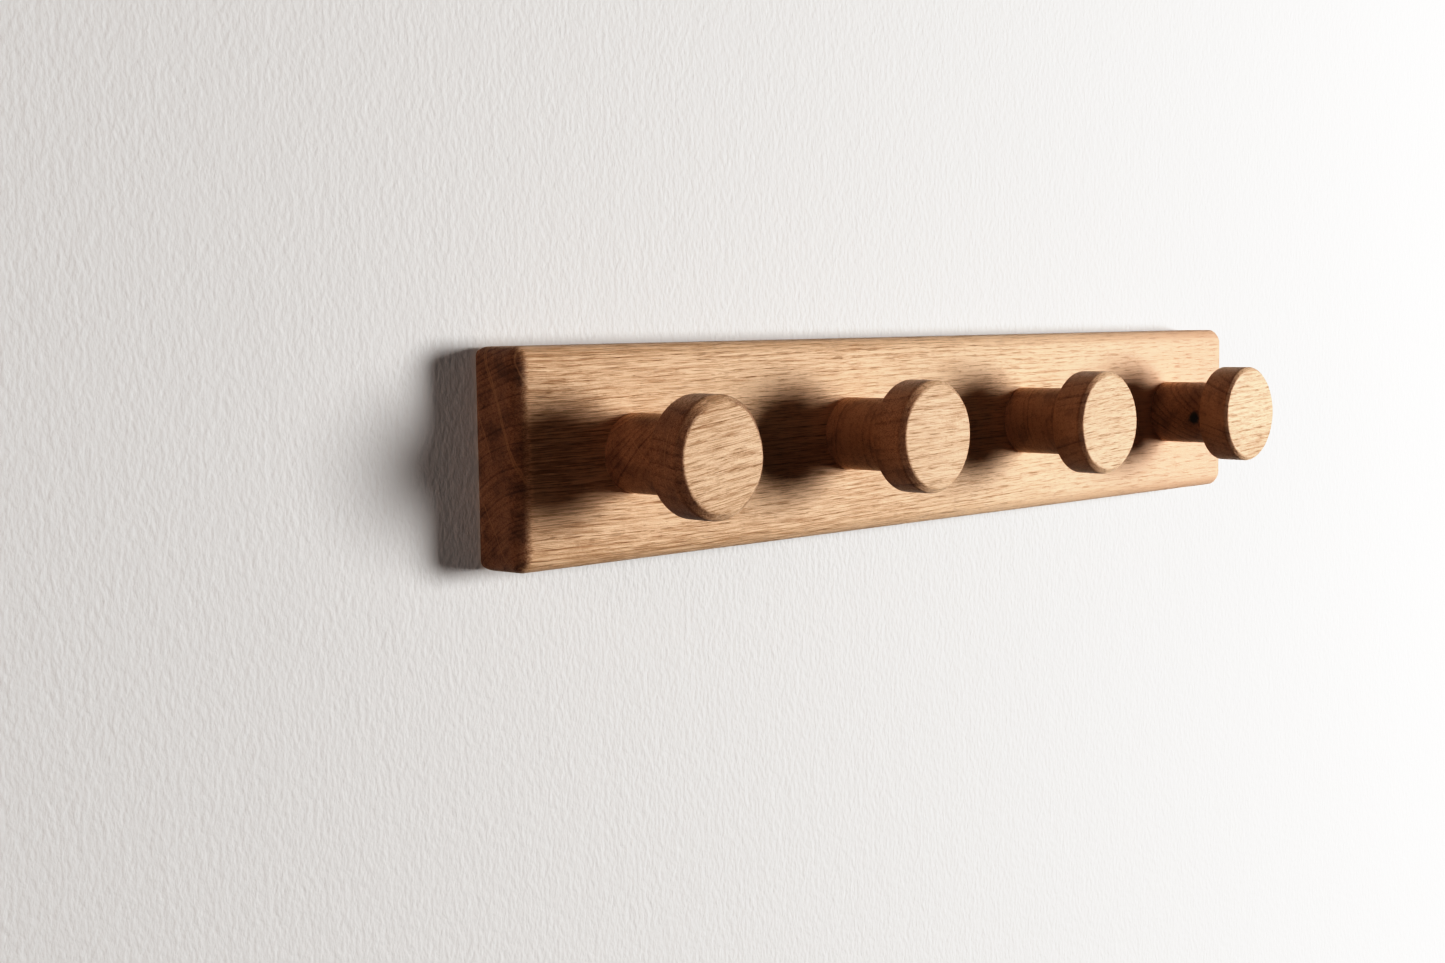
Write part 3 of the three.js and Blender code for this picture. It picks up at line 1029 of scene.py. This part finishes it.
PLATE_HOLE_FRONT, PLATE_HOLE_BACK = 1.8 * MM, 3.0 * MM
PLATE_HOLE_LAND = 0.15 * MM
PLATE_HOLE_FACETS = 48
PLATE_BEVEL = 0.18 * MM
PLATE_BEVEL_STEPS = 3
PLATE_BEVEL_ANGLE = math.radians(50)
SLOT_STEPS, ENTRY_STEPS = 20, 40


def keyhole(x, z):
    """Keyhole outline: a round entry with a slot rising out of it."""
    mouth = math.degrees(math.asin(KEYHOLE_SLOT / KEYHOLE_ENTRY))
    slot_z, entry_z = z + KEYHOLE_SLOT_RISE, z - KEYHOLE_ENTRY_DROP
    slot = arc(x, slot_z, KEYHOLE_SLOT, 0, 180, SLOT_STEPS)
    return slot + arc(x, entry_z, KEYHOLE_ENTRY, 90 + mouth, 450 - mouth, ENTRY_STEPS)


def plate(side):
    """Stamped keyhole plate with eased edges and two countersunk holes."""
    node = f"keyhole_plate_{side}"
    low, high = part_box(node)
    x, z = (low.x + high.x) / 2, (low.z + high.z) / 2
    front, back = low.y - CUT_MARGIN, high.y + CUT_MARGIN
    hole = [
        (0, front), (PLATE_HOLE_FRONT, front), (PLATE_HOLE_FRONT, low.y + PLATE_HOLE_LAND),
        (PLATE_HOLE_BACK, high.y - PLATE_HOLE_LAND), (PLATE_HOLE_BACK, back), (0, back),
    ]
    obj = prism(f"hanger_{side}", stadium(x, z, high.x - low.x, high.z - low.z), high.y, low.y)
    cutters = [prism("cutter", keyhole(x, z), back, front)]
    for number in PLATE_SCREW_NUMBERS:
        centre = middle(f"plate_screw_{side}_{number}")
        cutters.append(turned("cutter", same_all_round(hole), centre, PLATE_HOLE_FACETS))
    cut(obj, cutters)
    bevel = obj.modifiers.new("eased edges", "BEVEL")
    bevel.width = PLATE_BEVEL
    bevel.segments = PLATE_BEVEL_STEPS
    bevel.limit_method = "ANGLE"
    bevel.angle_limit = PLATE_BEVEL_ANGLE
    apply_modifiers(obj)
    smooth(obj, degrees=40)
    piece(obj, node, STEEL)


# ------------------------------------------------------------------ wall and floor

WALL_COLOUR, WALL_GLOW = rgb(0.74, 0.731, 0.717), 0.055
FLOOR_COLOUR, FLOOR_GLOW = rgb(0.78, 0.77, 0.75), 0.55
PAINT_ROUGHNESS = 0.9
PAINT_SHINE = 0.2
WALL_FINE_PER_M = (620, 620, 330)
WALL_BROAD_PER_M = (95, 95, 60)
WALL_BUMP = 0.5 * MM
WALL_REACH = 4.0
FLOOR_DROP = 1.1
WALL_GAP = 0.2 * MM
HOLE_MARGIN = 2.5 * MM


def matt_paint(name, colour, glow):
    """Matt paint; its glow stands for the light other walls of the room would send it."""
    material = bpy.data.materials.new(name)
    material.use_nodes = True
    shader = material.node_tree.nodes["Principled BSDF"]
    shader.inputs["Base Color"].default_value = colour
    shader.inputs["Roughness"].default_value = PAINT_ROUGHNESS
    shader.inputs["Specular IOR Level"].default_value = PAINT_SHINE
    shader.inputs["Emission Color"].default_value = rgb(1.0, 1.0, 1.0)
    shader.inputs["Emission Strength"].default_value = glow
    return material


def one_sided_wall():
    """Pale wall paint that a camera behind the wall looks through."""
    material = matt_paint("wall_paint", WALL_COLOUR, WALL_GLOW)
    g = Graph(material.node_tree)
    nodes = material.node_tree.nodes
    shader, output = nodes["Principled BSDF"], nodes["Material Output"]
    place = g.place()[0]
    fine = g.noise(place, WALL_FINE_PER_M, detail=3.0)
    broad = g.noise(place, WALL_BROAD_PER_M, detail=2.0)
    height = g.sum(fine, g.times(broad, 0.6))
    add_bump(g, shader, height, distance=WALL_BUMP, strength=0.75)
    seen = g.add("ShaderNodeLightPath").outputs["Is Camera Ray"]
    behind = g.add("ShaderNodeNewGeometry").outputs["Backfacing"]
    clear = g.add("ShaderNodeBsdfTransparent").outputs[0]
    g.put(g.shader_mix(g.times(seen, behind), shader.outputs[0], clear), output.inputs["Surface"])
    return material


def rectangle(reach, low, high):
    """Corners of a rectangle in a plane, with its reach to either side, and from low to high."""
    return [(-reach, low), (reach, low), (reach, high), (-reach, high)]


def wall():
    """Wall plane facing the room, open where the board covers it, so light reaches the back."""
    hole_x, hole_z = BOARD_HIGH.x - HOLE_MARGIN, BOARD_HIGH.z - HOLE_MARGIN
    corners = rectangle(WALL_REACH, -FLOOR_DROP, WALL_REACH) + rectangle(hole_x, -hole_z, hole_z)
    vertices = [(x, WALL_GAP, z) for x, z in corners]
    faces = [(i, (i + 1) % 4, (i + 1) % 4 + 4, i + 4) for i in range(4)]
    obj = new_object("wall", vertices, faces)
    obj.data.materials.append(one_sided_wall())
    obj.visible_diffuse = False


def floor():
    """Floor plane, far below the rack."""
    corners = rectangle(WALL_REACH, -WALL_REACH, WALL_REACH)
    obj = new_object("floor", [(x, y, -FLOOR_DROP) for x, y in corners], [(0, 1, 2, 3)])
    obj.data.materials.append(matt_paint("floor_paint", FLOOR_COLOUR, FLOOR_GLOW))
    obj.visible_diffuse = False
    obj.visible_glossy = False


# ------------------------------------------------------------------ light

KEY_FROM_WALL = math.radians(46.7)
KEY_RISE = 0.022

# One big soft key from the right, a weak warm fill grazing along the wall from the left, and a
# broad one behind the wall that only lights the rack's back. Each shines at the rack from its
# direction; its size is its width and height, its power is in watts.
LIGHTS = (
    {
        "name": "key",
        "direction": (math.cos(KEY_FROM_WALL), -math.sin(KEY_FROM_WALL), KEY_RISE),
        "distance": 2.0,
        "size": (0.76, 0.72),
        "power": 57.0,
        "colour": (1.0, 1.0, 1.0),
    },
    {
        "name": "fill",
        "direction": (-0.985, -0.045, 0.13),
        "distance": 1.6,
        "size": (0.8, 0.8),
        "power": 11.9,
        "colour": (1.0, 0.77, 0.67),
    },
    {
        "name": "back",
        "direction": (0.1, 1.0, 0.15),
        "distance": 1.6,
        "size": (4.0, 3.0),
        "power": 42.0,
        "colour": (1.0, 0.98, 0.95),
    },
)
WORLD_GLOW, WORLD_GLOW_STRENGTH = rgb(1.0, 0.78, 0.66), 0.042
WORLD_SEEN = rgb(0.90, 0.90, 0.89)


def area_light(name, direction, distance, size, power, colour):
    """Soft oval light, out of the camera's sight."""
    data = bpy.data.lights.new(name, "AREA")
    data.shape = "ELLIPSE"
    data.size, data.size_y = size
    data.energy = power
    data.color = colour
    obj = bpy.data.objects.new(name, data)
    obj.location = Vector(direction).normalized() * distance
    obj.rotation_euler = Vector(direction).to_track_quat("Z", "Y").to_euler()
    obj.visible_camera = False
    bpy.context.scene.collection.objects.link(obj)


def world():
    """Pale to the camera, and only a faint warm glow as light."""
    scene_world = bpy.data.worlds.new("world")
    scene_world.use_nodes = True
    tree = scene_world.node_tree
    tree.nodes.clear()
    g = Graph(tree)
    glow = g.add("ShaderNodeBackground")
    glow.inputs["Color"].default_value = WORLD_GLOW
    glow.inputs["Strength"].default_value = WORLD_GLOW_STRENGTH
    pale = g.add("ShaderNodeBackground")
    pale.inputs["Color"].default_value = WORLD_SEEN
    seen = g.add("ShaderNodeLightPath").outputs["Is Camera Ray"]
    surface = g.add("ShaderNodeOutputWorld").inputs["Surface"]
    g.put(g.shader_mix(seen, glow.outputs[0], pale.outputs[0]), surface)
    bpy.context.scene.world = scene_world


# ------------------------------------------------------------------ picture tone

TONE_POWER = 1.43
TONE_KNEE = 1.87
TONE_SHOULDER = 0.80
TONE_HEADROOM = 0.40
TONE_WHITE = 1.25
TONE_STOPS = (0.03, 0.1, 0.2, 0.35, 0.5, 0.7, 0.8, 0.9, 1.05)
ALL_CHANNELS = 3


def tone(light):
    """Contrast of the picture: darks pressed down, brights eased towards white."""
    raised = light ** TONE_POWER
    shown = (1 + TONE_KNEE) * raised / (raised + TONE_KNEE)
    over = max(shown - TONE_SHOULDER, 0.0)
    return min(shown, TONE_SHOULDER) + TONE_HEADROOM * over / (over + TONE_HEADROOM)


def picture_tone():
    """Standard view with the tone curve on it."""
    view = bpy.context.scene.view_settings
    view.view_transform = "Standard"
    view.use_curve_mapping = True
    view.curve_mapping.white_level = (TONE_WHITE,) * 3
    curve = view.curve_mapping.curves[ALL_CHANNELS]
    for light in TONE_STOPS:
        curve.points.new(light / TONE_WHITE, tone(light))
    view.curve_mapping.update()


# ------------------------------------------------------------------ camera

CAMERA_PLACE = Vector((-0.5279, -0.4419, 0.0385))
CAMERA_YAW = math.radians(-44.821)
CAMERA_PITCH = math.radians(-4.763)
CAMERA_ROLL = math.radians(-0.786)
CAMERA_LENS_MM = 47.61
CAMERA_FILM_MM = 36.0
CAMERA_NEAR, CAMERA_FAR = 0.01, 50.0


def camera():
    """Camera at the photograph's place: left of the rack, a little above its middle."""
    flat = math.cos(CAMERA_PITCH)
    look = Vector((-math.sin(CAMERA_YAW) * flat, math.cos(CAMERA_YAW) * flat, math.sin(CAMERA_PITCH)))
    level = look.cross(Vector((0, 0, 1))).normalized()
    upright = level.cross(look)
    right = level * math.cos(CAMERA_ROLL) + upright * math.sin(CAMERA_ROLL)
    up = -level * math.sin(CAMERA_ROLL) + upright * math.cos(CAMERA_ROLL)
    data = bpy.data.cameras.new("camera")
    data.lens = CAMERA_LENS_MM
    data.sensor_width = CAMERA_FILM_MM
    data.clip_start, data.clip_end = CAMERA_NEAR, CAMERA_FAR
    obj = bpy.data.objects.new("camera", data)
    turn = Matrix((right, up, -look)).transposed()
    obj.matrix_world = Matrix.Translation(CAMERA_PLACE) @ turn.to_4x4()
    bpy.context.scene.collection.objects.link(obj)
    bpy.context.scene.camera = obj


# ------------------------------------------------------------------ assembly

camera()
board()
for peg_number in PEG_NUMBERS:
    stem(peg_number)
    head(peg_number)
    dowel(peg_number)
    peg_screw(peg_number)
for plate_side in PLATE_SIDES:
    plate(plate_side)
    for screw_number in PLATE_SCREW_NUMBERS:
        plate_screw(plate_side, screw_number)
wall()
floor()
for light_settings in LIGHTS:
    area_light(**light_settings)
world()
picture_tone()
